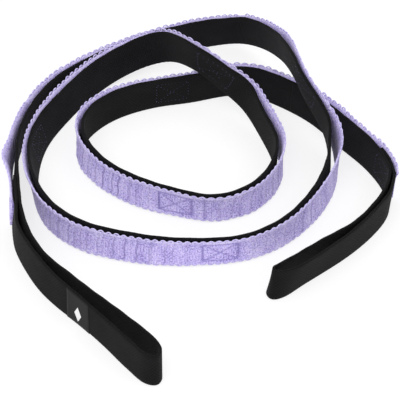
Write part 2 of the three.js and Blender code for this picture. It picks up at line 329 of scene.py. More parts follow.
def make_webbing_path():
    """The webbing's whole length, one folded end, the route and the other folded end, and the
    number of steps in the first folded end."""
    fold = np.arange(STEP, FOLD_LENGTH, STEP)
    left_s = (LEFT_ROOT + fold)[::-1]
    right_s = RIGHT_ROOT - fold
    left = ROUTE.point(left_s, 0, FOLD_OFFSET)
    right = ROUTE.point(right_s, 0, FOLD_OFFSET)
    points = np.vstack([left, ROUTE.points, right])
    ups = np.vstack([ROUTE.at(ROUTE.ups, left_s), ROUTE.ups, ROUTE.at(ROUTE.ups, right_s)])
    index = np.arange(len(points))
    joins = [len(left), len(points) - len(right)]
    from_fold = np.min([np.abs(index - join) for join in joins], axis=0)
    near = np.clip(FOLD_FADE_START - from_fold / FOLD_FADE, 0, 1)[:, None]
    points = on_floor(points * (1 - near) + smooth(points, FOLD_SOFTNESS) * near)
    ups = ups * (1 - near) + smooth(ups, FOLD_UP_SOFTNESS) * near
    return Path(points, unit(ups)), len(left)


WEBBING_PATH, FOLD_STEPS = make_webbing_path()


def webbing_distance(s):
    """Distance along the webbing's path of a distance s along the route."""
    return WEBBING_PATH.s[int(round(s / STEP)) + FOLD_STEPS]


# ---------------------------------------------------------------- meshes
def new_object(name, verts, faces, uvs, smooth_faces):
    """A mesh object: uvs has a row for each vertex, and the first smooth_faces faces are smooth."""
    mesh = bpy.data.meshes.new(name)
    mesh.from_pydata(verts.tolist(), [], faces)
    flags = [True] * smooth_faces + [False] * (len(faces) - smooth_faces)
    mesh.polygons.foreach_set("use_smooth", flags)
    layer = mesh.uv_layers.new(name="UVMap")
    loops = np.empty(len(mesh.loops), np.int32)
    mesh.loops.foreach_get("vertex_index", loops)
    layer.data.foreach_set("uv", uvs[loops].astype(np.float32).reshape(-1))
    mesh.update()
    obj = bpy.data.objects.new(name, mesh)
    bpy.context.collection.objects.link(obj)
    return obj


def ring_mesh(name, rings, u, v):
    """A closed tube of rings, an array (rings, points, 3), with u along it and v round it."""
    count, size = rings.shape[:2]
    i = np.arange(count - 1)[:, None] * size
    j = np.arange(size)[None, :]
    k = (j + 1) % size
    quads = np.stack([i + j, i + size + j, i + size + k, i + k], axis=-1).reshape(-1, 4)
    faces = quads.tolist()
    faces.append(list(range(size)))
    faces.append(list(range((count - 1) * size, count * size))[::-1])
    round_it = np.tile(v, count) if v.ndim == 1 else v.reshape(-1)
    uvs = np.stack([np.repeat(u, size), round_it], axis=1)
    return new_object(name, rings.reshape(-1, 3), faces, uvs, len(quads))


def add_attribute(obj, name, values):
    attribute = obj.data.attributes.new(name, "FLOAT", "POINT")
    attribute.data.foreach_set("value", np.asarray(values, np.float32).reshape(-1))


# The slow waves that make a wave's pitch wander: how much longer than it, and their largest phase
SLOW_FACTORS = (2.1, 3.7, 6.1)
SLOW_PHASE = 6.3


def waves(s, pitch, seed, spread=0.35):
    """A wave along s whose pitch wanders, from -1 to 1."""
    draw = np.random.default_rng(seed)
    slow = sum(np.sin(s / (pitch * f) + draw.uniform(0, SLOW_PHASE)) for f in SLOW_FACTORS) / 3
    return np.sin(2 * np.pi * s / pitch + slow * 2 * np.pi * spread)


# ---------------------------------------------------------------- webbing
FLAT_POINTS = 11
EDGE_POINTS = 7


def webbing_section():
    """(offset, height) round the webbing: two flat faces and two rounded edges."""
    half = WEBBING_THICKNESS / 2
    high = STRAP_WIDTH - WEBBING_ROUND
    flat = np.linspace(WEBBING_ROUND, high, FLAT_POINTS)
    arc = np.linspace(0, np.pi, EDGE_POINTS)[1:-1]
    out = [(half, h) for h in flat]
    out += [(half * math.cos(a), high + WEBBING_ROUND * math.sin(a)) for a in arc]
    out += [(-half, h) for h in flat[::-1]]
    out += [(-half * math.cos(a), WEBBING_ROUND - WEBBING_ROUND * math.sin(a)) for a in arc]
    return np.array(out)


WEBBING_STEP = 1.1 * MM
# The webbing's edges: where they begin, from its middle line at 0 to its edge at 1, how deep and how
# thick the weft's ripple makes them, and how far the top edge flutters sideways
EDGE_START = 0.8
RIPPLE_PITCH = 4.1 * MM
RIPPLE_DEPTH = 0.13 * MM
RIPPLE_SWELL = 0.12
FLUTTER_PITCH = 17 * MM
SLOW_FLUTTER_PITCH = 41 * MM
SLOW_FLUTTER_SHARE = 0.6
FLUTTER_DEPTH = 0.16 * MM


def webbing(name, start, end):
    """A stretch of the webbing, from start to end along its path."""
    steps = int(round((end - start) / WEBBING_STEP))
    s = np.linspace(start, end, steps + 1)
    section = webbing_section()
    offset = np.broadcast_to(section[:, 0], (len(s), len(section))).copy()
    height = np.broadcast_to(section[:, 1], (len(s), len(section))).copy()
    upper = section[:, 1] > STRAP_WIDTH / 2
    from_middle = np.abs(section[:, 1] / STRAP_WIDTH - 0.5) * 2
    edge = np.clip((from_middle - EDGE_START) / (1 - EDGE_START), 0, 1) ** 2
    ripple = waves(s, RIPPLE_PITCH, seed=11)[:, None]
    flutter = waves(s, FLUTTER_PITCH, seed=13)[:, None]
    flutter = flutter + SLOW_FLUTTER_SHARE * waves(s, SLOW_FLUTTER_PITCH, seed=17)[:, None]
    height -= edge * RIPPLE_DEPTH * (1 + ripple) * np.where(upper, 1, -1)
    offset *= 1 + RIPPLE_SWELL * edge * ripple
    offset += FLUTTER_DEPTH * flutter * edge * np.where(upper, 1, 0)
    rings = on_floor(WEBBING_PATH.point(s[:, None], height, offset))
    return ring_mesh(name, rings, s / STRAP_WIDTH, section[:, 1] / STRAP_WIDTH)


# ---------------------------------------------------------------- elastic
def smoothstep(x, low, high):
    t = np.clip((x - low) / (high - low), 0, 1)
    return t * t * (3 - 2 * t)


STAND_OFF_SOFTNESS = 5


def make_stand_off(row):
    """Distances along the route, and how far one row of GRIP_LOOPS stands off at each."""
    places, lifts = [LEFT_ROOT], [0]
    for loop, a, b in zip(GRIP_LOOPS, BOXES[:-1], BOXES[1:]):
        low, high = a + BOX_LENGTH / 2 + STITCH_MARGIN, b - BOX_LENGTH / 2 - STITCH_MARGIN
        places += list(np.linspace(low, high, len(loop[row])))
        lifts += loop[row]
    s = np.arange(LEFT_ROOT, RIGHT_ROOT, STEP)
    rough = np.interp(s, places, np.array(lifts) * MM)
    return s, smooth(rough[:, None], STAND_OFF_SOFTNESS)[:, 0]


TOP_STAND_OFF = make_stand_off("top")
MIDDLE_STAND_OFF = make_stand_off("middle")
BOTTOM_STAND_OFF = make_stand_off("bottom")
# How far past a folded end the elastic comes down to the webbing, at its bottom and its top edge
CLIMB_LOW = 6 * MM
CLIMB_HIGH = 20 * MM
CLIMB_RISE = FOLD_OFFSET


def elastic_inner(s, height):
    """Offset of the elastic's inner face: on the webbing, over the folded ends, off it in the loops."""
    from_end = np.minimum(s - LEFT_ROOT, RIGHT_ROOT - s)
    level = height / STRAP_WIDTH
    climb_end = FOLD_LENGTH + CLIMB_LOW + (CLIMB_HIGH - CLIMB_LOW) * level
    climb = CLIMB_RISE * (1 - smoothstep(from_end, FOLD_LENGTH, climb_end))
    stand = np.interp(s, *BOTTOM_STAND_OFF) * (1 - level) * (1 - 2 * level)
    stand = stand + np.interp(s, *MIDDLE_STAND_OFF) * 4 * level * (1 - level)
    stand = stand + np.interp(s, *TOP_STAND_OFF) * level * (2 * level - 1)
    curl_level = (height - CURL_START) / (STRAP_WIDTH - CURL_START)
    curl = CURL * np.clip(curl_level, 0, CURL_LIMIT) ** CURL_POWER
    return WEBBING_THICKNESS / 2 + ELASTIC_REST + climb + stand + curl


# The dents that the stitches pull: their half width, and the depth of the box's long sides, of its
# cross and of the one crease, against its short sides
DENT_WIDTH = 0.5 * MM
LONG_SIDE_DENT = 0.5
CROSS_DENT = 0.45
CREASE_DENT = 0.6
CREASE_BOX = 6
CREASE_DISTANCE = 8.5 * MM


def line_dent(distance, inside):
    return np.exp(-0.5 * (distance / DENT_WIDTH) ** 2) * inside


def stitch_dents(s, height):
    """Depth, from 0 to 1, of the dents that the box stitches pull into the elastic."""
    depth = np.zeros(np.broadcast(s, height).shape)
    half_l, half_h = BOX_LENGTH / 2, BOX_HEIGHT / 2
    slope = half_h / half_l
    for centre in BOXES:
        x, y = s - centre, height - STRAP_WIDTH / 2
        in_x = smoothstep(half_l + DENT_WIDTH - np.abs(x), 0, DENT_WIDTH)
        in_y = smoothstep(half_h + DENT_WIDTH - np.abs(y), 0, DENT_WIDTH)
        depth = np.maximum(depth, line_dent(np.abs(x) - half_l, in_y))
        depth = np.maximum(depth, LONG_SIDE_DENT * line_dent(np.abs(y) - half_h, in_x))
        for sign in (1, -1):
            across = (y - sign * slope * x) / math.hypot(1, slope)
            depth = np.maximum(depth, CROSS_DENT * line_dent(across, in_x * in_y))
    crease = s - (BOXES[CREASE_BOX] - half_l - CREASE_DISTANCE)
    return np.maximum(depth, CREASE_DENT * line_dent(crease, 1.0))


# The elastic's gathers: how strong they are in each grip loop, how calm they get between the livelier
# patches, how they slant and bend, and the (share, pitch, seed, spread) of each wave of ridges
GATHER_STRENGTHS = [0.9, 0.8, 0.8, 1.0, 0.9, 1.0, 1.5, 0.9]
CALM_SHARE = 0.45
PATCH_PITCH = 63 * MM
GATHER_SLANT = 0.10
GATHER_BEND = 0.5 * MM
GATHER_BEND_PITCH = 14 * MM
RIDGES = [(0.62, 4.3 * MM, 21, 0.6), (0.38, 7.9 * MM, 23, 0.5), (0.35, 2.6 * MM, 29, 0.5)]


def gathers(s, height):
    """Ridges across the elastic, strongest in the loose middle of each grip loop."""
    loose = np.zeros_like(s)
    for strength, a, b in zip(GATHER_STRENGTHS, BOXES[:-1], BOXES[1:]):
        share = np.clip((s - a - BOX_LENGTH / 2) / (b - a - BOX_LENGTH), 0, 1)
        loose += strength * np.sin(np.pi * share) ** 0.5
    lively = CALM_SHARE + (1 - CALM_SHARE) * (0.5 + 0.5 * waves(s, PATCH_PITCH, seed=3))
    slanted = s + GATHER_SLANT * (height - STRAP_WIDTH / 2)
    slanted = slanted + GATHER_BEND * waves(height, GATHER_BEND_PITCH, seed=5)
    ridge = sum(share * waves(slanted, pitch, seed, spread) for share, pitch, seed, spread in RIDGES)
    return ridge * lively * loose


GATHER_HEIGHT = 0.34 * MM
BACK_GATHER_SHARE = 0.6
BACK_GATHER_FROM = 2 * MM
DENT_DEPTH = 0.6 * MM
# The raised rim along both edges, from the middle line at 0 to the edge at 1, and the thinner edge
RIM_HEIGHT = 0.22 * MM
RIM_START = (0.82, 0.88)
RIM_END = (0.97, 1.02)
THIN_EDGE = (0.94, 1.0)
EDGE_THINNING = 0.35
RIM_CALM = 0.5


def elastic_front(s, height):
    """Offset of the elastic's outer face, with its gathers, dents and raised edges."""
    across = np.abs(height - STRAP_WIDTH / 2) / ((ELASTIC_TOP - ELASTIC_BOTTOM) / 2)
    rim = smoothstep(across, *RIM_START) * (1 - smoothstep(across, *RIM_END))
    thick = ELASTIC_THICKNESS * (1 - EDGE_THINNING * smoothstep(across, *THIN_EDGE))
    relief = GATHER_HEIGHT * gathers(s, height) - DENT_DEPTH * stitch_dents(s, height)
    return elastic_inner(s, height) + thick + RIM_HEIGHT * rim + relief * (1 - RIM_CALM * rim)


EDGE_WANDER = 0.16 * MM
EDGE_WANDER_PITCH = 23 * MM
PICOT_WANDER = 0.10 * MM


def edge_level(s, top):
    """Height of the elastic's edge, which wanders a little."""
    wander = EDGE_WANDER * waves(s, EDGE_WANDER_PITCH, seed=31 + top)
    wander = wander + PICOT_WANDER * waves(s, PICOT_PITCH, seed=37 + top, spread=0.2)
    return (ELASTIC_TOP if top else ELASTIC_BOTTOM) + wander


ELASTIC_STEP = 0.75 * MM
FRONT_POINTS = 30
BACK_POINTS = 6
BACK_INSET = 0.015


def elastic_band(name, start, end):
    """A stretch of the elastic, from start to end along the route."""
    s = np.linspace(start, end, int(round((end - start) / ELASTIC_STEP)) + 1)[:, None]
    low, high = edge_level(s, False), edge_level(s, True)
    front = low + (high - low) * np.linspace(0, 1, FRONT_POINTS)[None, :]
    back = low + (high - low) * np.linspace(1 - BACK_INSET, BACK_INSET, BACK_POINTS)[None, :]
    height = np.concatenate([front, back], axis=1)
    long_s = np.broadcast_to(s, height.shape)
    front_s, back_s = long_s[:, :FRONT_POINTS], long_s[:, FRONT_POINTS:]
    inner = elastic_inner(back_s, back)
    loose = inner > BACK_GATHER_FROM
    inner = inner + BACK_GATHER_SHARE * GATHER_HEIGHT * gathers(back_s, back) * loose
    offset = np.concatenate([elastic_front(front_s, front), inner], axis=1)
    rings = on_floor(ROUTE.point(long_s, height, offset))
    obj = ring_mesh(name, rings, s[:, 0] / STRAP_WIDTH, height / STRAP_WIDTH)
    # Stitch-dent depths and gather ridges, stored on the mesh only to paint shade into the elastic's
    # colour: darker in the dents and in the valleys between the gathers
    dents = np.zeros(height.shape)
    dents[:, :FRONT_POINTS] = stitch_dents(front_s, front)
    relief = np.zeros(height.shape)
    relief[:, :FRONT_POINTS] = gathers(front_s, front)
    add_attribute(obj, "dent_shade", dents)
    add_attribute(obj, "gather_shade", relief)
    return obj


PICOT_WIDTH = 3.5 * MM
PICOT_RISE = 1.5 * MM
PICOT_THREAD = 0.46 * MM
PICOT_INSET = 0.25 * MM
PICOT_LEVEL = 0.55
LOWER_PICOTS = 0.5
PICOT_STEPS = 9
PICOT_SIDES = 6
PICOT_ARCH = (-0.12 * np.pi, 1.12 * np.pi)
PICOT_SEED = 1000
# How much the picots differ in place, tilt, width with thread, and rise
PICOT_SHIFT = 0.10 * MM
PICOT_TILT = 0.12 * MM
PICOT_SPREAD = (0.92, 1.08)
PICOT_RISE_SPREAD = (0.85, 1.12)


def picots(name, start, end):
    """The small loops of thread along both edges of the elastic."""
    faces, verts, uvs = [], [], []
    base = 0
    turn = np.linspace(0, 2 * np.pi, PICOT_SIDES, endpoint=False)
    arch = np.linspace(*PICOT_ARCH, PICOT_STEPS)
    rows = np.arange(PICOT_STEPS - 1)[:, None] * PICOT_SIDES
    j, k = np.arange(PICOT_SIDES), (np.arange(PICOT_SIDES) + 1) % PICOT_SIDES
    first = math.ceil((start - LEFT_ROOT) / PICOT_PITCH)
    last = math.floor((end - LEFT_ROOT) / PICOT_PITCH)
    for top in (True, False):
        for index in range(first, last):
            draw = np.random.default_rng(PICOT_SEED + 2 * index + top)
            centre = LEFT_ROOT + (index + 0.5) * PICOT_PITCH + draw.normal(0, PICOT_SHIFT)
            width = PICOT_WIDTH * draw.uniform(*PICOT_SPREAD)
            rise = PICOT_RISE * draw.uniform(*PICOT_RISE_SPREAD) * (1 if top else LOWER_PICOTS)
            tilt = draw.normal(0, PICOT_TILT)
            edge = float(edge_level(np.array(centre), top))
            sign = 1 if top else -1
            line_s = centre - width / 2 * np.cos(arch)
            line_h = edge + sign * rise * np.sin(arch) - sign * PICOT_INSET
            middle = elastic_inner(np.array(centre), edge) + ELASTIC_THICKNESS * PICOT_LEVEL
            line_o = middle + tilt * np.sin(arch)
            out_s, out_h = -np.cos(arch), sign * np.sin(arch)
            thread = PICOT_THREAD * draw.uniform(*PICOT_SPREAD)
            ring_s = line_s[:, None] + thread * out_s[:, None] * np.cos(turn)
            ring_h = line_h[:, None] + thread * out_h[:, None] * np.cos(turn)
            ring_o = line_o[:, None] + thread * np.sin(turn)
            ring = on_floor(ROUTE.point(ring_s, ring_h, ring_o))
            verts.append(ring.reshape(-1, 3))
            i = base + rows
            quads = np.stack([i + j, i + PICOT_SIDES + j, i + PICOT_SIDES + k, i + k], axis=-1)
            quads = quads if top else quads[..., ::-1]
            faces += quads.reshape(-1, 4).tolist()
            end_base = base + PICOT_SIDES * (PICOT_STEPS - 1)
            caps = [list(range(base, base + PICOT_SIDES))]
            caps.append(list(range(end_base, end_base + PICOT_SIDES))[::-1])
            faces += [cap if top else cap[::-1] for cap in caps]
            uvs.append(np.stack([ring_s / STRAP_WIDTH, ring_h / STRAP_WIDTH], axis=-1).reshape(-1, 2))
            base += PICOT_SIDES * PICOT_STEPS
    return new_object(name, np.vstack(verts), faces, np.vstack(uvs), len(faces))


# ---------------------------------------------------------------- box stitches
STITCH_PITCH = 2.7 * MM
STITCH_LENGTH = 2.3 * MM
STITCH_RADIUS = 0.36 * MM
STITCH_RINGS = 5
STITCH_SIDES = 6
STITCH_END = 0.35
STITCH_SINK = 0.6
STITCH_TIP = 0.06
# On the webbing's inner face only faint ends of the stitches show
BACK_STITCH_RADIUS = 0.12 * MM
BACK_STITCH_SHARE = 0.12
BACK_STITCH_SINK = 0.02 * MM


def box_lines(centre):
    """The six lines of a box and its cross, each as two (distance, height) points."""
    half_l, half_h = BOX_LENGTH / 2, BOX_HEIGHT / 2
    corners = [(-half_l, -half_h), (half_l, -half_h), (half_l, half_h), (-half_l, half_h)]
    pairs = [(0, 1), (1, 2), (2, 3), (3, 0), (0, 2), (1, 3)]
    level = STRAP_WIDTH / 2
    return [[(centre + corners[i][0], level + corners[i][1]) for i in pair] for pair in pairs]


def stitch(s0, h0, s1, h1, radius, offset_at):
    """One visible length of thread: a thin bead that dips into the fabric at both ends."""
    t = np.linspace(0, 1, STITCH_RINGS)
    s, h = s0 + (s1 - s0) * t, h0 + (h1 - h0) * t
    bulge = np.sin(np.pi * np.clip(t, STITCH_TIP, 1 - STITCH_TIP))
    rise = offset_at(s, h)
    length = math.hypot(s1 - s0, h1 - h0)
    across_s, across_h = -(h1 - h0) / length, (s1 - s0) / length
    turn = np.linspace(0, 2 * np.pi, STITCH_SIDES, endpoint=False)
    r = radius * (STITCH_END + (1 - STITCH_END) * bulge)[:, None]
    ring_s = s[:, None] + r * across_s * np.cos(turn)
    ring_h = h[:, None] + r * across_h * np.cos(turn)
    sign = 1 if rise[0] > 0 else -1
    ring_o = rise[:, None] + sign * (radius * (bulge - STITCH_SINK))[:, None] + r * np.sin(turn)
    return ROUTE.point(ring_s, ring_h, ring_o), ring_s, ring_h


def webbing_back(s, height):
    """Offset of the webbing's inner face, where the ends of the stitches show."""
    return np.full_like(s, -WEBBING_THICKNESS / 2 + BACK_STITCH_SINK)


STITCH_SIDES_OF_STRAP = [
    (elastic_front, STITCH_RADIUS, 1.0),
    (webbing_back, BACK_STITCH_RADIUS, BACK_STITCH_SHARE),
]


def box_stitching(name, centre):
    """All the visible lengths of thread of one box, on both faces of the strap."""
    verts, faces, uvs, base = [], [], [], 0
    rows = np.arange(STITCH_RINGS - 1)[:, None] * STITCH_SIDES
    j, k = np.arange(STITCH_SIDES), (np.arange(STITCH_SIDES) + 1) % STITCH_SIDES
    for offset_at, radius, share in STITCH_SIDES_OF_STRAP:
        for (s0, h0), (s1, h1) in box_lines(centre):
            length = math.hypot(s1 - s0, h1 - h0)
            count = int(round(length / STITCH_PITCH))
            half = STITCH_LENGTH * share / length / 2
            for i in range(count):
                middle = (i + 0.5) / count
                ends = [(s0 + (s1 - s0) * at, h0 + (h1 - h0) * at) for at in (middle - half, middle + half)]
                ring, ring_s, ring_h = stitch(*ends[0], *ends[1], radius, offset_at)
                verts.append(ring.reshape(-1, 3))
                uvs.append(np.stack([ring_s, ring_h], axis=-1).reshape(-1, 2) / STRAP_WIDTH)
                low = base + rows
                high = low + STITCH_SIDES
                quads = np.stack([low + j, low + k, high + k, high + j], axis=-1)
                faces += quads.reshape(-1, 4).tolist()
                faces.append(list(range(base, base + STITCH_SIDES))[::-1])
                top = base + STITCH_SIDES * (STITCH_RINGS - 1)
                faces.append(list(range(top, top + STITCH_SIDES)))
                base += STITCH_SIDES * STITCH_RINGS
    return new_object(name, np.vstack(verts), faces, np.vstack(uvs), len(faces))


# ---------------------------------------------------------------- label
def patch(name, outline, thickness, face):
    """A thin flat patch on the outer side of the near ply: outline is (s, height) points."""
    outline = np.array(outline)
    count = len(outline)
    outer = ROUTE.point(outline[:, 0], outline[:, 1], face - thickness)
    inner = ROUTE.point(outline[:, 0], outline[:, 1], face)
    verts = np.vstack([outer, inner])
    faces = [list(range(count)), list(range(count, 2 * count))[::-1]]
    faces += [[i, count + i, count + (i + 1) % count, (i + 1) % count] for i in range(count)]
    return new_object(name, verts, faces, np.tile(outline / STRAP_WIDTH, (2, 1)), 0)


LABEL_STEPS = 25
LABEL_ROWS = 19
LABEL_SINK = 0.1 * MM
# How far the label's outer face falls towards its stitched-down border, and over what width
LABEL_FALL = 0.25 * MM
LABEL_BORDER = 0.3 * MM
LABEL_SOFT = 1.2 * MM


def label_patch():
    """The woven label, a grid with a slightly rounded and stitched-down border."""
    s = np.linspace(LABEL_START, LABEL_START + LABEL_LENGTH, LABEL_STEPS)
    heights = np.linspace(LABEL_MARGIN, STRAP_WIDTH - LABEL_MARGIN, LABEL_ROWS)
    around = np.concatenate([heights, heights[::-1]])
    is_outer = np.arange(2 * LABEL_ROWS) < LABEL_ROWS
    from_side = np.minimum(around, STRAP_WIDTH - around)[None, :]
    from_end = np.minimum(s - s[0], s[-1] - s)[:, None]
    from_border = np.minimum(from_end, from_side)
    fall = LABEL_FALL * (1 - np.clip((from_border - LABEL_BORDER) / LABEL_SOFT, 0, 1))
    offset = -WEBBING_THICKNESS / 2 + np.where(is_outer, fall - LABEL_THICKNESS, LABEL_SINK)
    rings = ROUTE.point(s[:, None], around, offset)
    return ring_mesh("handle_label_patch", rings, s / STRAP_WIDTH, around / STRAP_WIDTH)


MARK_LIFT = 0.42 * MM


def mark_print():
    """The plain rhombus printed on the label."""
    centre = LABEL_START + LABEL_LENGTH / 2
    outline = [
        (centre + MARK_LENGTH / 2, MARK_LEVEL),
        (centre, MARK_LEVEL + MARK_HEIGHT / 2),
        (centre - MARK_LENGTH / 2, MARK_LEVEL),
        (centre, MARK_LEVEL - MARK_HEIGHT / 2),
    ]
    return patch("label_mark_print", outline, MARK_THICKNESS, -WEBBING_THICKNESS / 2 - MARK_LIFT)


# ---------------------------------------------------------------- materials
class Nodes:
    """Small helper that adds nodes and links to a material."""

    def __init__(self, name):
        self.material = bpy.data.materials.new(name)
        self.material.use_nodes = True
        self.tree = self.material.node_tree
        self.shader = self.tree.nodes["Principled BSDF"]

    def add(self, kind, values=None, **settings):
        node = self.tree.nodes.new(kind)
        for key, value in settings.items():
            setattr(node, key, value)
        for key, value in (values or {}).items():
            node.inputs[key].default_value = value
        return node

    def link(self, out, to):
        self.tree.links.new(out, to)

    def math(self, operation, a, b=None, clamp=False):
        node = self.add("ShaderNodeMath", operation=operation, use_clamp=clamp)
        for index, value in enumerate([a] if b is None else [a, b]):
            if isinstance(value, (int, float)):
                node.inputs[index].default_value = value
            else:
                self.link(value, node.inputs[index])
        return node.outputs[0]

    def ramp(self, value, stops):
        node = self.add("ShaderNodeValToRGB")
        ramp = node.color_ramp
        while len(ramp.elements) < len(stops):
            ramp.elements.new(0.5)
        for element, (place, color) in zip(ramp.elements, stops):
            element.position = place
            element.color = (*color, 1)
        self.link(value, node.inputs[0])
        return node.outputs[0]

    def mix(self, factor, a, b):
        node = self.add("ShaderNodeMix", data_type="RGBA", blend_type="MIX")
        for socket, value in ((node.inputs[0], factor), (node.inputs[6], a), (node.inputs[7], b)):
            if isinstance(value, bpy.types.NodeSocket):
                self.link(value, socket)
            elif isinstance(value, (int, float)):
                socket.default_value = value
            else:
                socket.default_value = (*value, 1)
        return node.outputs[2]

    def strap_uv(self, scale_u, scale_v):
        """The strap's own coordinates, in strap widths, times a scale each way."""
        uv = self.add("ShaderNodeUVMap", uv_map="UVMap")
        mapping = self.add("ShaderNodeMapping")
        mapping.inputs["Scale"].default_value = (scale_u, scale_v, 1)
        self.link(uv.outputs[0], mapping.inputs[0])
        return mapping.outputs[0]

    def noise(self, vector, detail=2.0, roughness=0.5):
        values = {"Scale": 1.0, "Detail": detail, "Roughness": roughness}
        node = self.add("ShaderNodeTexNoise", values)
        self.link(vector, node.inputs["Vector"])
        return node.outputs[0]

    def bump(self, height, strength, distance, normal=None):
        node = self.add("ShaderNodeBump", {"Strength": strength, "Distance": distance})
        self.link(height, node.inputs["Height"])
        if normal is not None:
            self.link(normal, node.inputs["Normal"])
        return node.outputs[0]

    def finish(self, color, normal):
        self.link(color, self.shader.inputs["Base Color"])
        self.link(normal, self.shader.inputs["Normal"])
        return self.material


def weave(nodes, u_count, v_count):
    """A plain weave: cells along and across the strap that go over and under by turns."""
    uv = nodes.add("ShaderNodeUVMap", uv_map="UVMap")
    split = nodes.add("ShaderNodeSeparateXYZ")
    nodes.link(uv.outputs[0], split.inputs[0])
    u = nodes.math("MULTIPLY", split.outputs[0], u_count * math.pi)
    v = nodes.math("MULTIPLY", split.outputs[1], v_count * math.pi)
    return nodes.math("MULTIPLY", nodes.math("SINE", u), nodes.math("SINE", v))


def webbing_material():
    n = Nodes("black_webbing")
    cells = weave(n, 22, 20)
    fuzz = n.noise(n.strap_uv(60, 60), 3.0)
    cloud = n.noise(n.strap_uv(1.2, 2.0), 2.0)
    soft = n.math("ADD", fuzz, n.math("MULTIPLY", cloud, 0.5))
    tone = n.math("ADD", n.math("MULTIPLY", cells, 0.18), soft)
    color = n.ramp(tone, [
        (0.35, (0.0036, 0.0036, 0.0040)),
        (0.75, (0.0062, 0.0061, 0.0067)),
        (1.0, (0.0120, 0.0118, 0.0132)),
    ])
    normal = n.bump(cells, 0.5, 0.00022)
    normal = n.bump(fuzz, 0.35, 0.00015, normal)
    n.shader.inputs["Roughness"].default_value = 0.85
    n.shader.inputs["Specular IOR Level"].default_value = 0.11
    n.shader.inputs["Sheen Weight"].default_value = 0.015
    n.shader.inputs["Sheen Roughness"].default_value = 0.5
    return n.finish(color, normal)


def elastic_material():
    n = Nodes("lavender_elastic")
    uv = n.add("ShaderNodeUVMap", uv_map="UVMap")
    split = n.add("ShaderNodeSeparateXYZ")
    n.link(uv.outputs[0], split.inputs[0])
    heather = n.noise(n.strap_uv(24, 17), 2.0, 0.6)
    speck = n.noise(n.strap_uv(46, 34), 1.0, 0.5)
    patchy = n.noise(n.strap_uv(2.5, 1.5), 2.0)
    ribs = n.math("SINE", n.math("MULTIPLY", split.outputs[0], 24 * 2 * math.pi))
    tone = n.math("ADD", n.math("MULTIPLY", heather, 0.62), n.math("MULTIPLY", speck, 0.38))
    tone = n.math("ADD", tone, n.math("MULTIPLY", ribs, 0.035))
    tone = n.math("ADD", tone, n.math("MULTIPLY", n.math("SUBTRACT", patchy, 0.5), 0.25))
    color = n.ramp(tone, [
        (0.36, (0.220, 0.168, 0.480)),
        (0.45, (0.450, 0.370, 0.810)),
        (0.52, (0.615, 0.525, 0.970)),
        (0.62, (0.790, 0.725, 1.000)),
    ])
    # Painted shade: the colour darkens towards deep purple in the dents that the box stitches pull
    dent_shade = n.add("ShaderNodeAttribute", attribute_name="dent_shade")
    gather_shade = n.add("ShaderNodeAttribute", attribute_name="gather_shade")
    color = n.mix(n.math("MULTIPLY", dent_shade.outputs["Fac"], 0.80, clamp=True), color, (0.130, 0.090, 0.360))
    # Painted shade: darker colour in the valleys between the gathers
    valley_shade = n.math("MULTIPLY", gather_shade.outputs["Fac"], -0.60, clamp=True)
    color = n.mix(valley_shade, color, (0.170, 0.125, 0.400))
    # Painted highlight: the colour is lighter in a band along both edges of the elastic, where its rolled
    # rim faces the light
    v = split.outputs[1]
    away = n.math("ABSOLUTE", n.math("SUBTRACT", v, 0.5))
    rim = n.math("MULTIPLY", n.math("SUBTRACT", away, 0.37), 14.0, clamp=True)
    color = n.mix(n.math("MULTIPLY", rim, 0.55), color, (0.780, 0.720, 1.000))
    normal = n.bump(ribs, 0.30, 0.00018)
    normal = n.bump(heather, 0.55, 0.00035, normal)
    n.shader.inputs["Roughness"].default_value = 0.72
    n.shader.inputs["Specular IOR Level"].default_value = 0.30
    n.shader.inputs["Sheen Weight"].default_value = 0.18
    n.shader.inputs["Sheen Roughness"].default_value = 0.45
    return n.finish(color, normal)


def picot_material():
    n = Nodes("lavender_picot")
    speck = n.noise(n.strap_uv(40, 40), 2.0)
    color = n.ramp(speck, [
        (0.30, (0.460, 0.390, 0.800)),
        (0.55, (0.690, 0.625, 0.980)),
        (0.75, (0.820, 0.780, 1.000)),
    ])
    normal = n.bump(speck, 0.4, 0.0002)
    n.shader.inputs["Roughness"].default_value = 0.7
    n.shader.inputs["Specular IOR Level"].default_value = 0.3
    n.shader.inputs["Sheen Weight"].default_value = 0.15
    return n.finish(color, normal)


def thread_material():
    n = Nodes("lavender_thread")
    speck = n.noise(n.strap_uv(60, 60), 2.0)
    color = n.ramp(speck, [
        (0.30, (0.240, 0.190, 0.540)),
        (0.60, (0.430, 0.360, 0.780)),
        (0.80, (0.560, 0.490, 0.900)),
    ])
    normal = n.bump(speck, 0.5, 0.00015)
    n.shader.inputs["Roughness"].default_value = 0.55
    n.shader.inputs["Specular IOR Level"].default_value = 0.4
    return n.finish(color, normal)


def label_material():
    n = Nodes("black_label")
    fine = n.noise(n.strap_uv(90, 30), 2.0)
    color = n.ramp(fine, [(0.3, (0.0042, 0.0042, 0.0045)), (0.7, (0.0075, 0.0075, 0.0080))])
    normal = n.bump(fine, 0.25, 0.0001)
    n.shader.inputs["Roughness"].default_value = 0.62
    n.shader.inputs["Specular IOR Level"].default_value = 0.22
    return n.finish(color, normal)


def mark_material():
    n = Nodes("white_print")
    fine = n.noise(n.strap_uv(60, 60), 2.0)
    color = n.ramp(fine, [(0.3, (0.80, 0.80, 0.80)), (0.7, (0.93, 0.93, 0.93))])
    normal = n.bump(fine, 0.2, 0.0001)
    n.shader.inputs["Roughness"].default_value = 0.6
    return n.finish(color, normal)


def dress(obj, material):
    obj.data.materials.clear()
    obj.data.materials.append(material)
    return obj


# ---------------------------------------------------------------- camera
CAMERA_DISTANCE = 2.005
CAMERA_ELEVATION = math.radians(40)
LENS = 265.4
SENSOR_WIDTH = 36
CLIP_START = 0.05
CLIP_END = 20


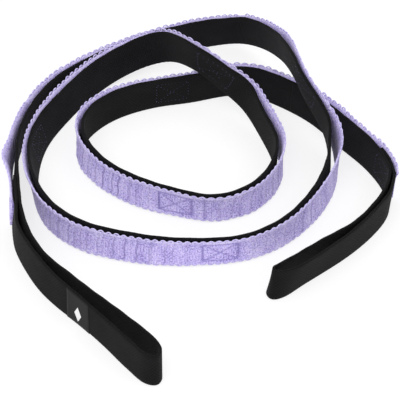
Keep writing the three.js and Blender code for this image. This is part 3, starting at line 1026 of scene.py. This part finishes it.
def make_camera():
    data = bpy.data.cameras.new("camera")
    data.sensor_width = SENSOR_WIDTH
    data.lens = LENS
    data.clip_start = CLIP_START
    data.clip_end = CLIP_END
    camera = bpy.data.objects.new("camera", data)
    bpy.context.collection.objects.link(camera)
    target = -CENTRE
    back = np.array([0, -math.cos(CAMERA_ELEVATION), math.sin(CAMERA_ELEVATION)])
    camera.location = target + back * CAMERA_DISTANCE
    camera.rotation_euler = (math.pi / 2 - CAMERA_ELEVATION, 0, 0)
    bpy.context.scene.camera = camera


make_camera()

# ---------------------------------------------------------------- pieces
WEBBING = webbing_material()
ELASTIC = elastic_material()
PICOT = picot_material()
THREAD = thread_material()

SPLIT = [box - BOX_LENGTH / 2 - HINGE_GAP for box in BOXES]


def on_route(s):
    """The point halfway up the webbing at a distance s along the route."""
    return ROUTE.point(np.array([s]), STRAP_WIDTH / 2, 0)[0]


# Where each joint bends: the bodies before and after it, and the points between which it turns
BOX_BEND = 22 * MM
ROOT_BEND = 24 * MM
BEND_MARGIN = 1 * MM
BENDS = {
    "left_root": ("left_handle", "left_run", LEFT_ROOT - ROOT_BEND, LEFT_ROOT + BEND_MARGIN),
    "left_box": ("left_run", "back_run", SPLIT[1] - BOX_BEND, SPLIT[1] + BEND_MARGIN),
    "back_box": ("back_run", "coil", SPLIT[2] - BOX_BEND, SPLIT[2] + BEND_MARGIN),
    "right_root": ("coil", "right_handle", RIGHT_ROOT - BEND_MARGIN, RIGHT_ROOT + ROOT_BEND),
}


def attach(obj, where):
    """The piece rides on a body, or, for one of BENDS, has its transform baked into its mesh."""
    if where in BENDS:
        before, after, start, end = BENDS[where]
        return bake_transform(obj, before, after, start=tuple(on_route(start)), end=tuple(on_route(end)))
    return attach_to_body(obj, where)


MEET = [LEFT_ROOT + m for m in MEETINGS]
LEFT_HAND_NODES = ["handle_loop_left", "folded_end_left", "webbing_section_1"]
INNER_NODES = [f"webbing_section_{i}" for i in (4, 5, 6, 7)]
RIGHT_HAND_NODES = ["webbing_section_8", "folded_end_right", "handle_loop_right"]
WEBBING_PIECES = [
    ("webbing_left_hand_loop", None, MEET[0], "left_root", LEFT_HAND_NODES),
    ("webbing_left_run", MEET[0], MEET[1], "left_box", ["webbing_section_2"]),
    ("webbing_back_run", MEET[1], MEET[2], "back_box", ["webbing_section_3"]),
    ("webbing_inner_turns", MEET[2], MEET[3], "coil", INNER_NODES),
    ("webbing_right_hand_loop", MEET[3], None, "right_root", RIGHT_HAND_NODES),
]
CORD_POINT_STEP = 4 * MM
for name, start, end, where, nodes in WEBBING_PIECES:
    low = 0.0 if start is None else webbing_distance(start)
    high = WEBBING_PATH.s[-1] if end is None else webbing_distance(end)
    piece = dress(webbing(name, low, high), WEBBING)
    attach(piece, where)
    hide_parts(*nodes)
    if start is None or end is None:
        continue
    line_s = np.linspace(low, high, int((high - low) / CORD_POINT_STEP) + 1)
    line = WEBBING_PATH.point(line_s, STRAP_WIDTH / 2, 0)

ELASTIC_PIECES = [
    ("elastic_left_run", LEFT_ROOT + ELASTIC_END_GAP, MEET[0], "left_run", [1]),
    ("elastic_left_box", MEET[0], MEET[1], "left_box", [2]),
    ("elastic_back_run", MEET[1], MEET[2], "back_box", [3]),
    ("elastic_inner_turns", MEET[2], RIGHT_ROOT - ELASTIC_END_GAP, "coil", [4, 5, 6, 7, 8]),
]
for name, start, end, where, loops in ELASTIC_PIECES:
    band = dress(elastic_band(name, start, end), ELASTIC)
    attach(band, where)
    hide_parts(*[f"elastic_grip_loop_{i}" for i in loops])
    edging = dress(picots(name.replace("elastic", "picots"), start, end), PICOT)
    attach(edging, where)

BOX_BODIES = ["left_run", "back_run"] + ["coil"] * 7
for index, (centre, body) in enumerate(zip(BOXES, BOX_BODIES), start=1):
    stitching = dress(box_stitching(f"stitching_box_{index}", centre), THREAD)
    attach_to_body(stitching, body)
    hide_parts(f"box_stitch_{index}")

label = dress(label_patch(), label_material())
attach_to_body(label, "left_handle")
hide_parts("handle_label")
mark = dress(mark_print(), mark_material())
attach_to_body(mark, "left_handle")
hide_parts("label_mark")


# ---------------------------------------------------------------- floor and light
FLOOR_SIZE = 6.0
FLOOR_DROP = 0.3 * MM


def make_floor():
    mesh = bpy.data.meshes.new("floor")
    corners = [(x * FLOOR_SIZE, y * FLOOR_SIZE, 0) for x, y in ((-1, -1), (1, -1), (1, 1), (-1, 1))]
    mesh.from_pydata(corners, [], [(0, 1, 2, 3)])
    floor = bpy.data.objects.new("floor", mesh)
    floor.location.z = -FLOOR_DROP
    bpy.context.collection.objects.link(floor)
    n = Nodes("pale_floor")
    n.shader.inputs["Base Color"].default_value = (0.30, 0.30, 0.30, 1)
    n.shader.inputs["Emission Color"].default_value = (1, 1, 1, 1)
    n.shader.inputs["Emission Strength"].default_value = 0.74
    n.shader.inputs["Roughness"].default_value = 0.9
    n.shader.inputs["Specular IOR Level"].default_value = 0.1
    mesh.materials.append(n.material)


def area_light(name, place, size, power):
    """A round soft light that faces the origin."""
    data = bpy.data.lights.new(name, "AREA")
    data.shape = "DISK"
    data.size = size
    data.energy = power
    light = bpy.data.objects.new(name, data)
    light.location = place
    direction = np.array(place) / np.linalg.norm(place)
    light.rotation_euler = (math.acos(direction[2]), 0, math.atan2(direction[0], -direction[1]))
    bpy.context.collection.objects.link(light)


WORLD_STRENGTH = 0.85
LIGHT_SIZE = 1.6
KEY_POWER = 14
FILL_POWER = 6


def make_light():
    world = bpy.data.worlds.new("studio")
    bpy.context.scene.world = world
    world.use_nodes = True
    background = world.node_tree.nodes["Background"]
    background.inputs["Color"].default_value = (1, 1, 1, 1)
    background.inputs["Strength"].default_value = WORLD_STRENGTH
    area_light("key", (-0.6, -1.2, 2.0), LIGHT_SIZE, KEY_POWER)
    area_light("fill", (1.4, -0.6, 1.6), LIGHT_SIZE, FILL_POWER)
    bpy.context.scene.view_settings.view_transform = "Standard"


make_floor()
make_light()
